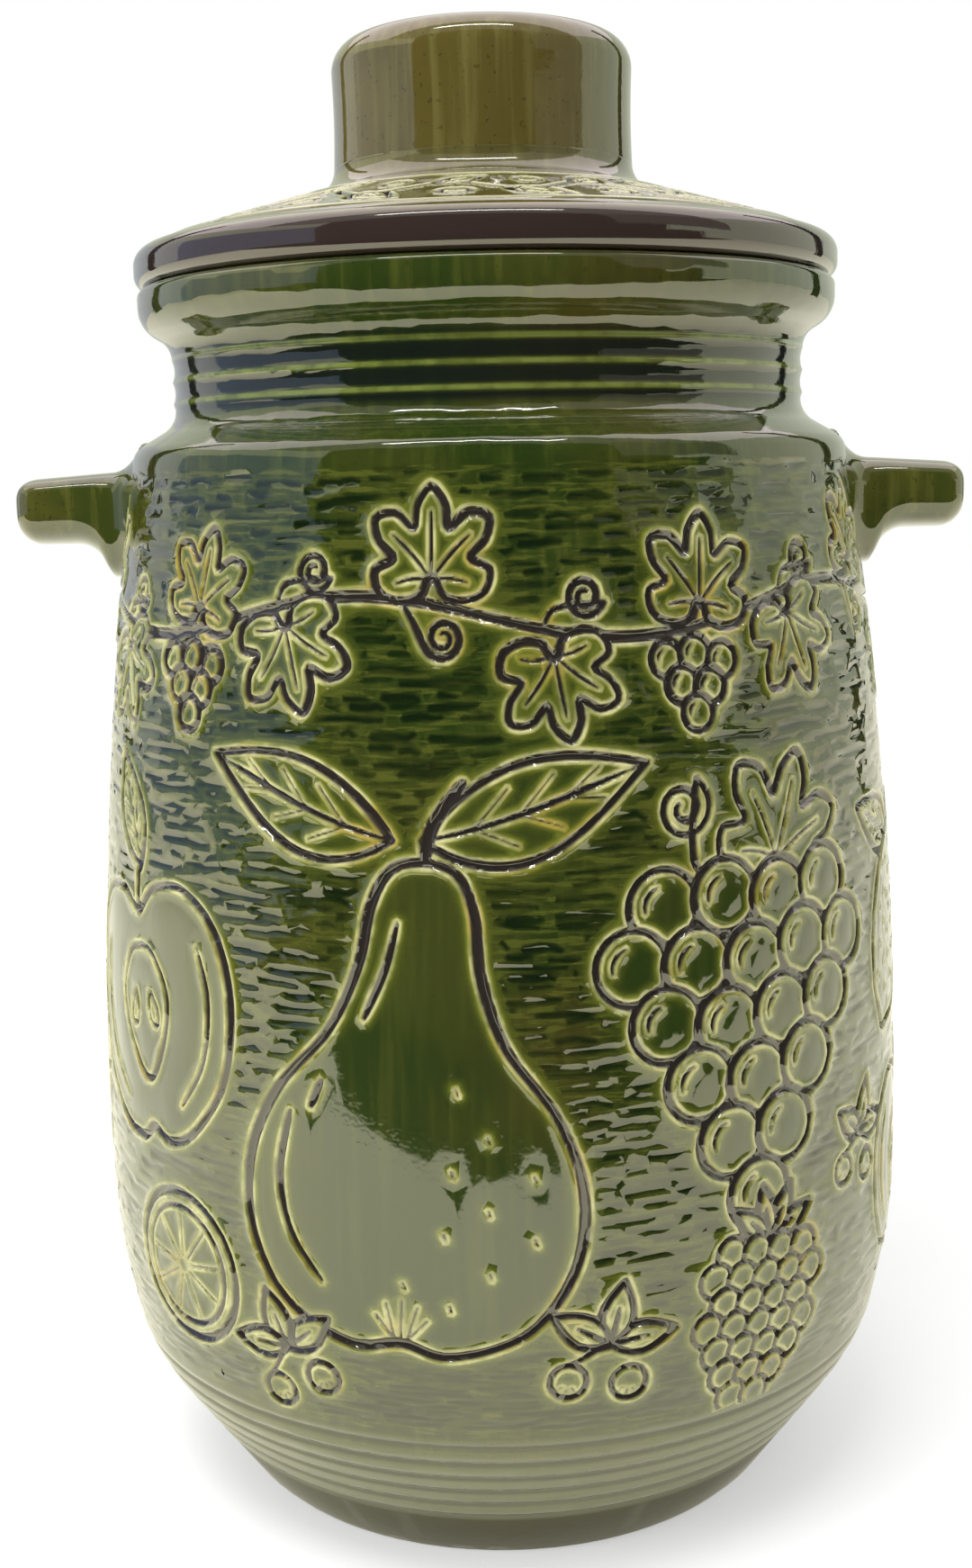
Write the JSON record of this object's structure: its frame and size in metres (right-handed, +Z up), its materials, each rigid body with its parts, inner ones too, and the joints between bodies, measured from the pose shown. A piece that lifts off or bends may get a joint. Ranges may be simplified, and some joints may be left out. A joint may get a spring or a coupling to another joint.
{
  "type": "rumtopf pot",
  "caption": "Tall glazed stoneware fruit-preserving jar with a grooved neck, side lugs and a lift-off conical lid with a hollow round knob.",
  "frame": {"origin": "centre of the footprint, on the table plane", "axes": "+Z up along the pot's axis, -Y towards the viewer of the front, +X and -X through the two lugs"},
  "size_m": [0.219, 0.19, 0.3326],
  "materials": {
    "green_glaze": "gloss",
    "lug_glaze": "gloss",
    "lid_glaze": "gloss",
    "knob_glaze": "gloss"
  },
  "bodies": {
    "pot": {"pot_body": "green_glaze", "left_lug": "lug_glaze", "right_lug": "lug_glaze"},
    "lid": {"lid": "lid_glaze", "lid_knob": "knob_glaze"}
  },
  "joints": [
    {"name": "lid_lift", "type": "slide", "parent": "pot", "child": "lid", "axis": [0, 0, 1], "range_m": [0, 0.1]}
  ]
}
